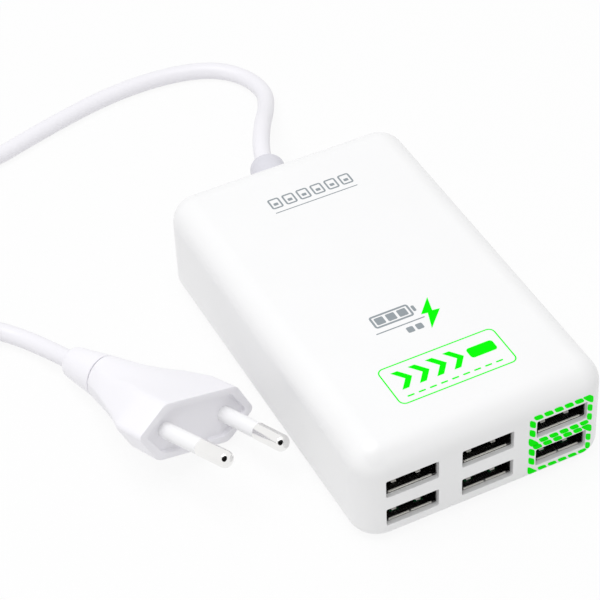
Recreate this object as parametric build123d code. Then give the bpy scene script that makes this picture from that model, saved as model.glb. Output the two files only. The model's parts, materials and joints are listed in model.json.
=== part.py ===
"""Multi port USB desktop charger with its mains lead and flat two-pin plug.

Millimetres. +Z is up and z = 0 is the surface that the charger stands on. The origin is under the
middle of the housing. The six sockets face -Y and the lead leaves the back wall towards +Y.
"""

from build123d import *
from math import cos, pi, radians, sin, tan
import os

# Housing: one deep moulded shell, open underneath
housing_width = 61.6
housing_length = 101.6
housing_height = 25.6
corner_radius = 6.7
top_radius = 6.5
bottom_radius = 3.0
wall = 2.0
inner_corner_radius = 3.0
inner_top_radius = 2.6
rim_above_cover = 0.9

# Cover, feet and screws under the housing
cover_thickness = 1.5
cover_clearance = 0.1
cover_edge_radius = 0.6
foot_diameter = 9.0
foot_proud = 0.8
foot_pocket_depth = 0.4
foot_edge_radius = 0.3
foot_from_side = 9.0
foot_from_end = 10.2
fit_clearance = 0.05
screw_head_diameter = 4.8
screw_head_height = 0.7
screw_shank_diameter = 2.4
screw_length = 9.0
boss_diameter = 5.8
boss_into_ceiling = 0.3
boss_from_side = 5.5
back_boss_share = 0.61
front_boss_behind_sockets = 6.6

# Sockets: three columns of two
port_columns = {"left": -1, "centre": 0, "right": 1}
column_pitch = 18.6
row_pitch = 8.72
lower_row_above_cover = 6.5
window_width = 12.8
window_height = 5.0
window_corner_radius = 0.35
socket_width = 12.5
socket_height = 5.12
socket_depth = 17.77
socket_above_window = 0.46
port_wall = 1.2
port_pocket_margin = 0.4
socket_behind_wall = 0.13
shell_sheet = 0.3
shell_seam = 0.4
shell_seam_depth = 0.5
septum_depth = 11.07
tongue_width = 11.1
tongue_thickness = 1.84
tongue_gap_above = 0.72
tongue_length = 8.3
tongue_edge = 0.3
insulator_depth = 6.4
insulator_clearance = 0.05
contact_offsets = (-3.5, -1.0, 1.0, 3.5)
contact_width = 1.0
contact_thickness = 0.25
outer_contact_from_tip = 0.6
inner_contact_from_tip = 1.6
lower_leg_behind = 0.3
upper_leg_behind = 1.3
spring_offset = 3.0
spring_width = 1.7
spring_tip_width = 0.9
spring_sheet = 0.2
spring_rise = 0.6
spring_tip_rise = 0.3
spring_tip_from_front = 1.8
spring_crest_from_front = 2.5
spring_root_from_front = 6.6
spring_slot_margin = 0.25

# Circuit board and insulation sheet
board_thickness = 1.2
board_side_clearance = 0.6
board_from_front = 0.9
board_from_back = 4.2
board_corner_radius = 2.0
boss_board_clearance = 0.4
sheet_thickness = 0.25
sheet_inset = 1.2
pad_diameter = 4.0
pad_inset = 3.4
seat_clearance = 0.05

# Places on the board are shares of half the cavity's width and of half the housing's length
tall_part_below_ceiling = 1.5

# Mains input side
fuse_diameter = 4.0
fuse_length = 11.0
fuse_cap_length = 2.4
fuse_cap_step = 0.25
fuse_share = (-0.521, 0.581)
x_capacitor_size = (14.0, 6.5, 12.0)
x_capacitor_share = (-0.417, 0.738)
choke_core_size = (11.0, 6.0, 13.0)
choke_core_bar = 3.0
choke_winding_depth = 11.0
choke_winding_height = 6.8
choke_share = (0.424, 0.719)
bridge_size = (6.4, 8.4, 3.2)
bridge_share = (-0.854, 0.778)
bulk_diameter = 16.0
bulk_length = 24.0
bulk_edge_radius = 1.0
bulk_groove_depth = 0.6
bulk_groove_from_end = 3.0
bulk_share = (0.569, 0.268)

# Switching side
device_body_size = (10.2, 4.4, 9.0)
device_tab_thickness = 1.3
device_leg_height = 3.0
device_leg_width = 1.2
device_leg_pitch = 2.54
device_leg_thickness = 0.6
heat_sink_thickness = 1.6
heat_sink_width = 22.0
heat_sink_fold = 4.0
primary_sink_share = (-0.417, 0.492)
secondary_sink_share = (-0.382, -0.118)
core_width = 25.4
core_depth = 6.6
core_yoke = 3.3
core_outer_leg = 3.3
core_centre_leg = 6.6
core_below_tall_parts = 0.7
core_above_board = 0.7
bobbin_wall = 0.9
bobbin_depth = 19.0
bobbin_rail_depth = 3.0
bobbin_clearance = 0.1
winding_inset = 0.6
transformer_share = (-0.3125, 0.1575)
y_capacitor_diameter = 8.0
y_capacitor_thickness = 3.0
y_capacitor_lead_height = 0.8
y_capacitor_share = (0.181, 0.441)
optocoupler_size = (4.4, 6.4, 3.4)
optocoupler_share = (0.212, -0.079)
controller_size = (3.9, 4.9, 1.6)
controller_share = (-0.819, 0.305)

# Output side
port_chip_size = (6.0, 5.0, 1.6)
port_chip_share = (0.785, -0.276)
output_capacitor_diameter = 10.0
output_capacitor_height = 16.0
output_capacitor_edge = 0.7
output_capacitor_shares = {"left": (0.087, -0.344), "right": (0.503, -0.344)}
output_choke_diameter = 11.0
output_choke_waist = 9.0
output_choke_height = 9.0
output_choke_flange = 1.3
output_choke_share = (-0.417, -0.384)

# Strain relief and mains lead
cord_diameter = 4.4
lead_height = 13.6
relief_neck_diameter = 7.0
relief_hole_clearance = 0.1
relief_flange_diameter = 11.0
relief_flange_thickness = 2.0
relief_base_diameter = 9.4
relief_end_diameter = 8.6
relief_length = 12.3
relief_bend = 16.0
relief_end_radius = 2.0
core_wire_diameter = 1.8
core_wire_spacing = 2.6
core_wire_run = 3.4
core_wire_bend = 2.2

# Put-away coil: two layers of turns beside the view, held by a band
coil_centre = (-106.0, 90.0)
coil_mean_radius = 24.0
coil_turns_across = 5.25
coil_layers = 2
coil_lift = 0.8
coil_in_angle = 72.0
coil_out_angle = 258.0
coil_stub_length = 19.5
coil_stub_inset = 0.25
coil_edge_radius = 1.7
tie_width = 9.0
tie_thickness = 0.7
tie_angle = 170.0
tie_clearance = 0.1

# Plug: flat two-pin, lying on the surface
plug_face_centre = (-50.35, -9.35)
plug_yaw = -68.9
plug_pitch = 9.0
plug_roll = -23.8
plug_width = 35.3
plug_height = 13.7
plug_flat_width = 21.8
plug_shoulder_depth = 8.0
plug_waist_depth = 20.0
plug_waist_width = 21.0
plug_waist_height = 12.4
plug_body_depth = 30.5
plug_collar_diameter = 11.2
plug_neck_length = 11.5
plug_neck_diameter = 8.8
plug_neck_end_diameter = 7.6
plug_neck_end_radius = 1.2
plug_groove_width = 0.6
plug_groove_depth = 0.5
plug_recess_rim = 1.7
plug_recess_depth = 1.2
plug_corner_radius = 1.2
pin_diameter = 4.0
pin_length = 19.0
pin_spacing = 18.6
pin_tip_spacing = 17.6
pin_root = 8.0
pin_core_diameter = 3.0
pin_tip_radius = 1.7
sleeve_diameter = 3.8
sleeve_end = 10.0
pin_fit = 0.03

# Heights and places that follow from the sizes above
base_z = foot_proud
top_z = base_z + housing_height
front_y = -housing_length / 2
back_y = housing_length / 2
cover_top_z = base_z + cover_thickness
ceiling_z = top_z - wall
cavity_width = housing_width - 2 * wall
cavity_length = housing_length - 2 * wall
lower_row_z = base_z + lower_row_above_cover
row_heights = (lower_row_z, lower_row_z + row_pitch)
socket_heights = tuple(height + socket_above_window for height in row_heights)
shell_front_y = front_y + port_wall + socket_behind_wall
shell_back_y = shell_front_y + socket_depth
shell_bottom_z = socket_heights[0] - socket_height / 2 - shell_sheet
shell_top_z = socket_heights[1] + socket_height / 2 + shell_sheet
board_top_z = shell_bottom_z
board_bottom_z = board_top_z - board_thickness
tall_part_height = ceiling_z - board_top_z - tall_part_below_ceiling
core_height = tall_part_height - core_above_board - core_below_tall_parts
core_window_height = core_height - 2 * core_yoke
boss_x = cavity_width / 2 - boss_from_side + wall
boss_places = [
    (side * boss_x, y)
    for side in (-1, 1)
    for y in (shell_back_y + front_boss_behind_sockets, back_boss_share * back_y)
]
cord_radius = cord_diameter / 2
lay_z = cord_radius + seat_clearance


def on_board(share):
    """The place in plan that a share of the space inside the housing stands for."""
    return (share[0] * cavity_width / 2, share[1] * housing_length / 2)


fuse_place = on_board(fuse_share)
x_capacitor_place = on_board(x_capacitor_share)
choke_place = on_board(choke_share)
bulk_place = on_board(bulk_share)
primary_sink_place = on_board(primary_sink_share)
secondary_sink_place = on_board(secondary_sink_share)
transformer_place = on_board(transformer_share)
y_capacitor_place = on_board(y_capacitor_share)
output_choke_place = on_board(output_choke_share)

nodes = {}


def slab(width, length, bottom, height, radius=0.0, at=(0.0, 0.0)):
    """An upright block with rounded corners in plan, standing on z = bottom."""
    outline = RectangleRounded(width, length, radius) if radius else Rectangle(width, length)
    return extrude(Pos(at[0], at[1], bottom) * outline, height)


def post(diameter, bottom, height, at):
    """An upright cylinder standing on z = bottom."""
    return extrude(Pos(at[0], at[1], bottom) * Circle(diameter / 2), height)


def block(size, at, bottom):
    """A plain component body on the board, given by its size along X, Y and Z."""
    return slab(size[0], size[1], bottom, size[2], at=at)


def port_centres():
    """Every socket as its column's name, its centre line in x and its height."""
    return [
        (name, column * column_pitch, height)
        for name, column in port_columns.items()
        for height in row_heights
    ]


def make_housing():
    shell = slab(housing_width, housing_length, base_z, housing_height, corner_radius)
    shell = fillet(shell.edges().group_by(Axis.Z)[-1], top_radius)
    shell = fillet(shell.edges().group_by(Axis.Z)[0], bottom_radius)
    below_rim = slab(housing_width, housing_length, 0, base_z + rim_above_cover)
    cavity = slab(cavity_width, cavity_length, 0, ceiling_z, inner_corner_radius)
    cavity = fillet(cavity.edges().group_by(Axis.Z)[-1], inner_top_radius)
    shell = shell - below_rim - cavity
    columns_span = (max(port_columns.values()) - min(port_columns.values())) * column_pitch
    pocket_width = columns_span + socket_width + 2 * shell_sheet + 2 * port_pocket_margin
    pocket_bottom = shell_bottom_z - port_pocket_margin
    pocket_height = shell_top_z - shell_bottom_z + 2 * port_pocket_margin
    pocket_at = (0, front_y + port_wall + wall / 2)
    shell -= slab(pocket_width, wall, pocket_bottom, pocket_height, at=pocket_at)
    for place in boss_places:
        shell += post(boss_diameter, cover_top_z, ceiling_z + boss_into_ceiling - cover_top_z, place)
    for place in boss_places:
        pilot_depth = screw_length + screw_head_height
        shell -= post(screw_shank_diameter + 2 * fit_clearance, base_z, pilot_depth, place)
    for _, x, height in port_centres():
        outline = RectangleRounded(window_width, window_height, window_corner_radius)
        window = Plane((x, front_y - wall, height), (1, 0, 0), (0, 1, 0)) * outline
        shell -= extrude(window, 2.5 * wall)
    hole = Circle(relief_neck_diameter / 2 + relief_hole_clearance)
    shell -= extrude(Plane((0, back_y - 1.5 * wall, lead_height), (1, 0, 0), (0, 1, 0)) * hole, 2 * wall)
    return shell


def foot_places():
    x = housing_width / 2 - foot_from_side
    y = housing_length / 2 - foot_from_end
    return {
        "foot_front_left": (-x, -y),
        "foot_front_right": (x, -y),
        "foot_back_left": (-x, y),
        "foot_back_right": (x, y),
    }


def pad_places():
    """Board supports: two behind the sockets, two at the middle and two at the back."""
    x = cavity_width / 2 - board_side_clearance - pad_inset
    return [(side * x, y) for side in (-1, 1) for y in (front_y + 6 * wall, 0.0, back_y - 5 * wall)]


def make_base_cover():
    width = cavity_width - 2 * cover_clearance
    length = cavity_length - 2 * cover_clearance
    plate = slab(width, length, base_z, cover_thickness, inner_corner_radius - cover_clearance)
    plate = fillet(plate.edges().group_by(Axis.Z)[0], cover_edge_radius)
    for place in pad_places():
        plate += post(pad_diameter, cover_top_z, board_bottom_z - cover_top_z, place)
    for place in foot_places().values():
        plate -= post(foot_diameter + 2 * fit_clearance, 0, base_z + foot_pocket_depth, place)
    for place in boss_places:
        plate -= post(screw_shank_diameter + 4 * fit_clearance, 0, cover_top_z + 1, place)
        plate -= post(screw_head_diameter + 4 * fit_clearance, 0, base_z + screw_head_height, place)
    return plate


def make_foot(place):
    foot = post(foot_diameter, 0, foot_proud + foot_pocket_depth, place)
    return fillet(foot.edges().group_by(Axis.Z)[0], foot_edge_radius)


def make_screws():
    screws = []
    for place in boss_places:
        head = post(screw_head_diameter, base_z, screw_head_height, place)
        screws.append(head + post(screw_shank_diameter, base_z, screw_length, place))
    return Compound(children=screws)


def spring_strip(x, floor_z, direction):
    """A bent contact spring on a socket's floor (direction 1) or ceiling (direction -1)."""
    tip = shell_front_y + spring_tip_from_front
    crest = shell_front_y + spring_crest_from_front
    root = shell_front_y + spring_root_from_front
    sheet = spring_sheet
    line = [
        (tip, spring_tip_rise),
        (crest, spring_rise),
        (root, 0.0),
        (root + spring_width, 0.0),
    ]
    upper = [(y, floor_z + direction * rise) for y, rise in line]
    lower = [(y, floor_z + direction * (rise - sheet)) for y, rise in reversed(line)]
    side = Plane((x - spring_width / 2, 0, 0), (0, 1, 0), (1, 0, 0))
    strip = extrude(side * make_face(Polyline(*upper, *lower, close=True)), spring_width)
    half, narrow = spring_width / 2, spring_tip_width / 2
    plan = Polyline(
        (x - narrow, tip - sheet), (x + narrow, tip - sheet), (x + half, crest + sheet),
        (x + half, root + 2 * spring_width), (x - half, root + 2 * spring_width),
        (x - half, crest + sheet), close=True,
    )
    return strip & extrude(Pos(0, 0, floor_z - 2) * make_face(plan), 4)


def make_usb_shell(x):
    """Folded sheet round both sockets of one column, with a septum between them and bent springs."""
    outer_width = socket_width + 2 * shell_sheet
    middle_y = (shell_front_y + shell_back_y) / 2
    shell = slab(outer_width, socket_depth, shell_bottom_z, shell_top_z - shell_bottom_z, at=(x, middle_y))
    behind_y = shell_front_y + septum_depth
    behind_depth = shell_back_y - behind_y + 1
    inner_height = shell_top_z - shell_bottom_z - 2 * shell_sheet
    behind_at = (x, behind_y + behind_depth / 2)
    shell -= slab(socket_width, behind_depth, shell_bottom_z + shell_sheet, inner_height, at=behind_at)
    for height in socket_heights:
        bottom = height - socket_height / 2
        shell -= slab(socket_width, 2 * socket_depth, bottom, socket_height, at=(x, middle_y))
    septum_bottom = socket_heights[0] + socket_height / 2 + shell_sheet
    septum_height = row_pitch - socket_height - 2 * shell_sheet
    septum_at = (x, shell_front_y + shell_sheet + septum_depth / 2)
    shell -= slab(socket_width, septum_depth, septum_bottom, septum_height, at=septum_at)
    slot_front = shell_front_y + spring_tip_from_front - spring_slot_margin
    slot_length = spring_root_from_front - spring_tip_from_front + spring_slot_margin
    slot_width = spring_width + 2 * spring_slot_margin
    for height in socket_heights:
        for side in (-1, 1):
            spring_x = x + side * spring_offset
            slot_at = (spring_x, slot_front + slot_length / 2)
            for direction in (1, -1):
                floor_z = height - direction * socket_height / 2
                shell -= slab(slot_width, slot_length, floor_z - shell_sheet, 2 * shell_sheet, at=slot_at)
                shell += spring_strip(spring_x, floor_z, direction)
    seam_at = (x, shell_front_y)
    shell -= slab(shell_seam, 2 * shell_seam_depth, shell_bottom_z - 1, 1 + shell_sheet, at=seam_at)
    return shell


def contact_path(x, height, leg_behind):
    """One contact: a strip under the tongue, through the insulator and down to the board."""
    outer = abs(x) > tongue_width / 4
    from_tip = outer_contact_from_tip if outer else inner_contact_from_tip
    tongue_tip = shell_back_y - insulator_depth - tongue_length
    start = tongue_tip + from_tip
    end = shell_back_y + leg_behind
    tongue_floor = height + socket_height / 2 - tongue_gap_above - tongue_thickness
    strip_at = (x, (start + end) / 2)
    strip = slab(contact_width, end - start, tongue_floor, contact_thickness, at=strip_at)
    leg_at = (x, end - contact_thickness / 2)
    leg = slab(contact_width, contact_thickness, board_top_z, tongue_floor - board_top_z, at=leg_at)
    return strip + leg


def make_usb_contacts(x):
    pieces = []
    for height, leg_behind in zip(socket_heights, (lower_leg_behind, upper_leg_behind)):
        for offset in contact_offsets:
            pieces.append(Pos(x, 0, 0) * contact_path(offset, height, leg_behind))
    return pieces


def make_usb_insulator(x, contacts):
    width = socket_width - 2 * insulator_clearance
    bottom = shell_bottom_z + shell_sheet + insulator_clearance
    height = shell_top_z - shell_bottom_z - 2 * shell_sheet - 2 * insulator_clearance
    front = shell_back_y - insulator_depth
    body = slab(width, insulator_depth, bottom, height, at=(x, front + insulator_depth / 2))
    for row in socket_heights:
        tongue_floor = row + socket_height / 2 - tongue_gap_above - tongue_thickness
        tongue_at = (x, front - tongue_length / 2)
        tongue = slab(tongue_width, tongue_length, tongue_floor, tongue_thickness, at=tongue_at)
        tongue = chamfer(tongue.faces().sort_by(Axis.Y)[0].edges(), tongue_edge)
        body += tongue
    for contact in contacts:
        body -= contact
    return body


def board_outline(inset):
    """The board's plan, as far inside the cavity as the inset, with notches round the bosses."""
    width = cavity_width - 2 * inset
    front = front_y + wall + board_from_front + inset
    back = back_y - wall - board_from_back - inset
    outline = Pos(0, (front + back) / 2) * RectangleRounded(width, back - front, board_corner_radius)
    for place in boss_places:
        outline -= Pos(*place) * Circle(boss_diameter / 2 + boss_board_clearance)
        outward = 1 if place[0] > 0 else -1
        notch_at = (place[0] + outward * boss_diameter, place[1])
        outline -= Pos(*notch_at) * Rectangle(2 * boss_diameter, boss_diameter + 2 * boss_board_clearance)
    return outline


def make_main_board():
    return extrude(Pos(0, 0, board_bottom_z) * board_outline(board_side_clearance), board_thickness)


def make_insulation_sheet():
    sheet = extrude(Pos(0, 0, cover_top_z) * board_outline(sheet_inset), sheet_thickness)
    for place in pad_places():
        sheet -= post(pad_diameter + 4 * fit_clearance, cover_top_z, sheet_thickness, place)
    return sheet


def lying_cylinder(diameter, length, at, along):
    """A cylinder that lies on the board along X or Y."""
    axis = (1, 0, 0) if along == "x" else (0, 1, 0)
    across = (0, 0, 1)
    centre_z = board_top_z + seat_clearance + diameter / 2
    start = (at[0] - axis[0] * length / 2, at[1] - axis[1] * length / 2, centre_z)
    return extrude(Plane(start, across, axis) * Circle(diameter / 2), length)


def make_fuse():
    tube = lying_cylinder(fuse_diameter, fuse_length, fuse_place, "x")
    middle = fuse_length - 2 * fuse_cap_length
    centre_z = board_top_z + seat_clearance + fuse_diameter / 2
    start = Plane((fuse_place[0] - middle / 2, fuse_place[1], centre_z), (0, 0, 1), (1, 0, 0))
    ring = Circle(fuse_diameter / 2) - Circle(fuse_diameter / 2 - fuse_cap_step)
    return tube - extrude(start * ring, middle)


def make_x_capacitor():
    box = block(x_capacitor_size, x_capacitor_place, board_top_z)
    return fillet(box.edges().filter_by(Axis.Z), fuse_cap_step * 2)


def make_mains_choke():
    """A closed core standing on the board with a winding on each upright leg."""
    width, depth, height = choke_core_size
    x, y = choke_place
    core = block(choke_core_size, choke_place, board_top_z)
    opening_width = width - 2 * choke_core_bar
    opening_height = height - 2 * choke_core_bar
    core -= slab(opening_width, 2 * depth, board_top_z + choke_core_bar, opening_height, at=choke_place)
    bottom = board_top_z + (height - choke_winding_height) / 2
    leg_shift = (width - choke_core_bar) / 2
    coil_width = opening_width - 2 * fit_clearance + choke_core_bar
    windings = []
    for side in (-1, 1):
        leg_at = (x + side * leg_shift, y)
        outer = slab(coil_width, choke_winding_depth, bottom, choke_winding_height, 2.0, leg_at)
        hole_width = choke_core_bar + 2 * fit_clearance
        hole = slab(hole_width, depth + 2 * fit_clearance, bottom, choke_winding_height, at=leg_at)
        inner_side = slab(coil_width, choke_winding_depth, bottom, choke_winding_height,
                          at=(x - side * (coil_width / 2 - fit_clearance), y))
        windings.append(outer - hole - inner_side)
    return core, Compound(children=windings)


def make_bulk_capacitor():
    can = lying_cylinder(bulk_diameter, bulk_length, bulk_place, "y")
    can = fillet(can.edges(), bulk_edge_radius)
    centre_z = board_top_z + seat_clearance + bulk_diameter / 2
    groove_y = bulk_place[1] + bulk_length / 2 - bulk_groove_from_end
    groove = Torus(bulk_diameter / 2, bulk_groove_depth)
    return can - Pos(bulk_place[0], groove_y, centre_z) * Rot(90, 0, 0) * groove


def make_power_device(sink_place):
    """A tab-mounted device that stands on its legs against the front of its heat sink."""
    x = sink_place[0]
    sink_front = sink_place[1] - heat_sink_thickness / 2
    width, depth, height = device_body_size
    bottom = board_top_z + device_leg_height
    tab_at = (x, sink_front - device_tab_thickness / 2)
    tab_height = tall_part_height - device_leg_height
    device = slab(width, device_tab_thickness, bottom, tab_height, at=tab_at)
    device += slab(width, depth, bottom, height, at=(x, sink_front - depth / 2))
    for step in (-1, 0, 1):
        leg_at = (x + step * device_leg_pitch, sink_front - depth / 2)
        device += slab(device_leg_width, device_leg_thickness, board_top_z, device_leg_height, at=leg_at)
    return device


def make_heat_sink(place):
    """A folded aluminium plate: an upright wall with a short return at each end."""
    x, y = place
    height = tall_part_height - heat_sink_thickness
    sink = slab(heat_sink_width, heat_sink_thickness, board_top_z, height, at=place)
    for side in (-1, 1):
        end_x = x + side * (heat_sink_width - heat_sink_thickness) / 2
        end_y = y - heat_sink_thickness / 2 - heat_sink_fold / 2
        sink += slab(heat_sink_thickness, heat_sink_fold, board_top_z, height, at=(end_x, end_y))
    return sink


def make_transformer():
    """A closed E core, its bobbin standing on two rails, and the winding between the flanges."""
    x, y = transformer_place
    yoke_z = board_top_z + core_above_board
    window_z = yoke_z + core_yoke
    window_top = window_z + core_window_height
    core = slab(core_width, core_depth, yoke_z, core_height, at=transformer_place)
    window_width = (core_width - 2 * core_outer_leg - core_centre_leg) / 2
    for side in (-1, 1):
        window_at = (x + side * (core_centre_leg + window_width) / 2, y)
        core -= slab(window_width, 2 * core_depth, window_z, core_window_height, at=window_at)
    tube_width = core_centre_leg + 2 * bobbin_clearance + 2 * bobbin_wall
    tube_depth = core_depth + 2 * bobbin_clearance + 2 * bobbin_wall
    flange_width = core_width - 2 * core_outer_leg - 2 * bobbin_clearance
    bobbin = slab(tube_width, tube_depth, window_z, core_window_height, at=transformer_place)
    for bottom in (window_z, window_top - bobbin_wall):
        bobbin += slab(flange_width, bobbin_depth, bottom, bobbin_wall, 1.0, transformer_place)
    for side in (-1, 1):
        rail_at = (x, y + side * (bobbin_depth - bobbin_rail_depth) / 2)
        bobbin += slab(flange_width, bobbin_rail_depth, board_top_z, window_z - board_top_z, at=rail_at)
    hole_width = core_centre_leg + 2 * bobbin_clearance
    hole_depth = core_depth + 2 * bobbin_clearance
    bobbin -= slab(hole_width, hole_depth, window_z, core_window_height, at=transformer_place)
    winding_z = window_z + bobbin_wall
    winding_height = core_window_height - 2 * bobbin_wall
    winding_width = flange_width - 2 * winding_inset
    winding_depth = bobbin_depth - 2 * winding_inset
    winding = slab(winding_width, winding_depth, winding_z, winding_height, 4.0, transformer_place)
    winding -= slab(tube_width, tube_depth, winding_z, winding_height, at=transformer_place)
    return core, bobbin, winding


def make_y_capacitor():
    """A coated disc that stands on edge, on the swollen root of its leads."""
    x, y = y_capacitor_place
    centre_z = board_top_z + y_capacitor_lead_height + y_capacitor_diameter / 2
    start = Plane((x - y_capacitor_thickness / 2, y, centre_z), (0, 1, 0), (1, 0, 0))
    disc = extrude(start * Circle(y_capacitor_diameter / 2), y_capacitor_thickness)
    disc = fillet(disc.edges(), y_capacitor_thickness / 3)
    root_height = y_capacitor_lead_height + y_capacitor_diameter / 4
    root_size = (y_capacitor_thickness / 2, y_capacitor_diameter / 2, root_height)
    return disc + block(root_size, y_capacitor_place, board_top_z)


def make_chip(size, place):
    chip = block(size, place, board_top_z)
    return chamfer(chip.edges().group_by(Axis.Z)[-1], size[2] / 8)


def make_output_capacitor(place):
    can = post(output_capacitor_diameter, board_top_z, output_capacitor_height, place)
    return fillet(can.edges(), output_capacitor_edge)


def make_output_choke():
    """A drum core with its winding, sleeved, between two flanges."""
    drum = post(output_choke_waist, board_top_z, output_choke_height, output_choke_place)
    top = board_top_z + output_choke_height - output_choke_flange
    for bottom in (board_top_z, top):
        drum += post(output_choke_diameter, bottom, output_choke_flange, output_choke_place)
    return drum


def relief_end():
    """Where the bent boot ends: its point and its direction in plan."""
    turn = radians(relief_bend)
    bend_radius = relief_length / turn
    point = Vector(bend_radius * (1 - cos(turn)), back_y + bend_radius * sin(turn), lead_height)
    return point, Vector(sin(turn), cos(turn), 0)


def make_strain_relief():
    """Flange inside the wall, neck through it and a boot that the lead bends to one side."""
    inner_y = back_y - wall - relief_flange_thickness
    start = Plane((0, inner_y, lead_height), (1, 0, 0), (0, 1, 0))
    relief = extrude(start * Circle(relief_flange_diameter / 2), relief_flange_thickness)
    relief += extrude(start * Circle(relief_neck_diameter / 2), relief_flange_thickness + wall)
    turn = radians(relief_bend)
    bend_radius = relief_length / turn
    sections = []
    steps = 4
    for step in range(steps + 1):
        share = step / steps
        angle = share * turn
        point = (bend_radius * (1 - cos(angle)), back_y + bend_radius * sin(angle), lead_height)
        radius = (relief_base_diameter + share * (relief_end_diameter - relief_base_diameter)) / 2
        sections.append(Plane(point, (0, 0, 1), (sin(angle), cos(angle), 0)) * Circle(radius))
    boot = loft(sections)
    boot = fillet(boot.edges().sort_by(Axis.Y)[-1], relief_end_radius)
    return relief + boot


def make_core_wire(side):
    """One insulated core, from the strain relief down to the board."""
    start_y = back_y - wall - relief_flange_thickness
    x = side * core_wire_spacing / 2
    turn_y = start_y - core_wire_run
    path = FilletPolyline(
        (x, start_y, lead_height), (x, turn_y, lead_height), (x, turn_y, board_top_z), radius=core_wire_bend
    )
    return sweep(Plane(path @ 0, z_dir=path % 0) * Circle(core_wire_diameter / 2), path)


def coil_point(angle, radius, height):
    turn = radians(angle)
    return Vector(coil_centre[0] + radius * cos(turn), coil_centre[1] + radius * sin(turn), height)


def coil_heading(angle):
    """Direction of travel on the coil, which is wound anticlockwise seen from above."""
    return Vector(-sin(radians(angle)), cos(radians(angle)), 0)


coil_band = coil_turns_across * cord_diameter
coil_outer_turn = coil_mean_radius + coil_band / 2 - cord_radius - coil_stub_inset
coil_in_z = coil_lift + cord_radius + coil_stub_inset
coil_out_z = coil_lift + (coil_layers - 0.5) * cord_diameter - coil_stub_inset
coil_in_point = coil_point(coil_in_angle, coil_outer_turn, coil_in_z)
coil_out_point = coil_point(coil_out_angle, coil_outer_turn, coil_out_z)
coil_in_end = coil_in_point - coil_heading(coil_in_angle) * coil_stub_length
coil_out_end = coil_out_point + coil_heading(coil_out_angle) * coil_stub_length


def make_coil():
    """The outer shape of all turns, with a stub of lead where it comes in and where it leaves."""
    section = RectangleRounded(coil_band, coil_layers * cord_diameter, coil_edge_radius)
    middle_z = coil_lift + coil_layers * cord_diameter / 2
    across = Plane((coil_mean_radius, 0, middle_z), (1, 0, 0), (0, -1, 0))
    ring = Pos(coil_centre[0], coil_centre[1], 0) * revolve(across * section, Axis.Z)
    for point, end in ((coil_in_point, coil_in_end), (coil_out_point, coil_out_end)):
        stub_line = Plane(point, z_dir=end - point)
        ring += extrude(stub_line * Circle(cord_radius), coil_stub_length)
    return ring


def make_coil_tie():
    """A flat band round the bundle of turns."""
    inner_edge = coil_mean_radius - coil_band / 2
    nearest = (inner_edge**2 - (tie_width / 2) ** 2) ** 0.5 - tie_clearance
    furthest = coil_mean_radius + coil_band / 2 + tie_clearance
    span = furthest - nearest
    low = coil_lift - tie_clearance
    height = coil_layers * cord_diameter + 2 * tie_clearance
    middle = (nearest + furthest) / 2
    outer_size = (span + 2 * tie_thickness, tie_width, height + 2 * tie_thickness)
    band = block(outer_size, (middle, 0), low - tie_thickness)
    band -= slab(span, 2 * tie_width, low, height, at=(middle, 0))
    band = fillet(band.edges().filter_by(Axis.Y), tie_thickness / 3)
    return Pos(coil_centre[0], coil_centre[1], 0) * Rot(0, 0, tie_angle) * band


def plug_directions():
    """The plug's width, height and pin directions, from its yaw, pitch and roll."""
    yaw, pitch, roll = radians(plug_yaw), radians(plug_pitch), radians(plug_roll)
    out = Vector(cos(yaw) * cos(pitch), sin(yaw) * cos(pitch), sin(pitch))
    level = Vector(-sin(yaw), cos(yaw), 0)
    upright = out.cross(level)
    across = level * cos(roll) + upright * sin(roll)
    return across, out.cross(across), out


def plug_plane():
    """The plane of the plug's face. The lowest corner of its face or shoulder just clears the surface."""
    across, upright, out = plug_directions()
    face_drop = plug_flat_width / 2 * abs(across.Z) + plug_height / 2 * upright.Z
    drop = face_drop + max(plug_shoulder_depth * out.Z, 0)
    origin = (plug_face_centre[0], plug_face_centre[1], drop + seat_clearance)
    return Plane(origin, across, out)


def plug_section(depth, width, height, flat, radius):
    """A six-sided section of the plug with rounded corners, this deep behind its face."""
    half, tall, shelf = width / 2, height / 2, flat / 2
    corners = [(-half, 0), (-shelf, tall), (shelf, tall), (half, 0), (shelf, -tall), (-shelf, -tall)]
    outline = make_face(Polyline(*corners, close=True))
    return Pos(0, 0, -depth) * fillet(outline.vertices(), radius)


def pin_line(side):
    """A pin's axis in the plug's frame: from its place in the face towards its tip."""
    root = Vector(side * pin_spacing / 2, 0, 0)
    tip = Vector(side * pin_tip_spacing / 2, 0, pin_length)
    return Plane(root, (0, 1, 0), tip - root)


def make_plug_pin(side):
    line = pin_line(side)
    core_length = pin_root + pin_length - pin_tip_radius
    core = extrude(line.offset(-pin_root) * Circle(pin_core_diameter / 2), core_length)
    tip = extrude(line.offset(sleeve_end) * Circle(pin_diameter / 2), pin_length - sleeve_end)
    tip = fillet(tip.edges().sort_by(Axis.Z)[-1], pin_tip_radius)
    return core + tip


def make_pin_sleeve(side):
    ring = Circle(sleeve_diameter / 2) - Circle(pin_core_diameter / 2 + pin_fit)
    return extrude(pin_line(side).offset(-plug_recess_depth - 2) * ring, plug_recess_depth + 2 + sleeve_end)


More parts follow.
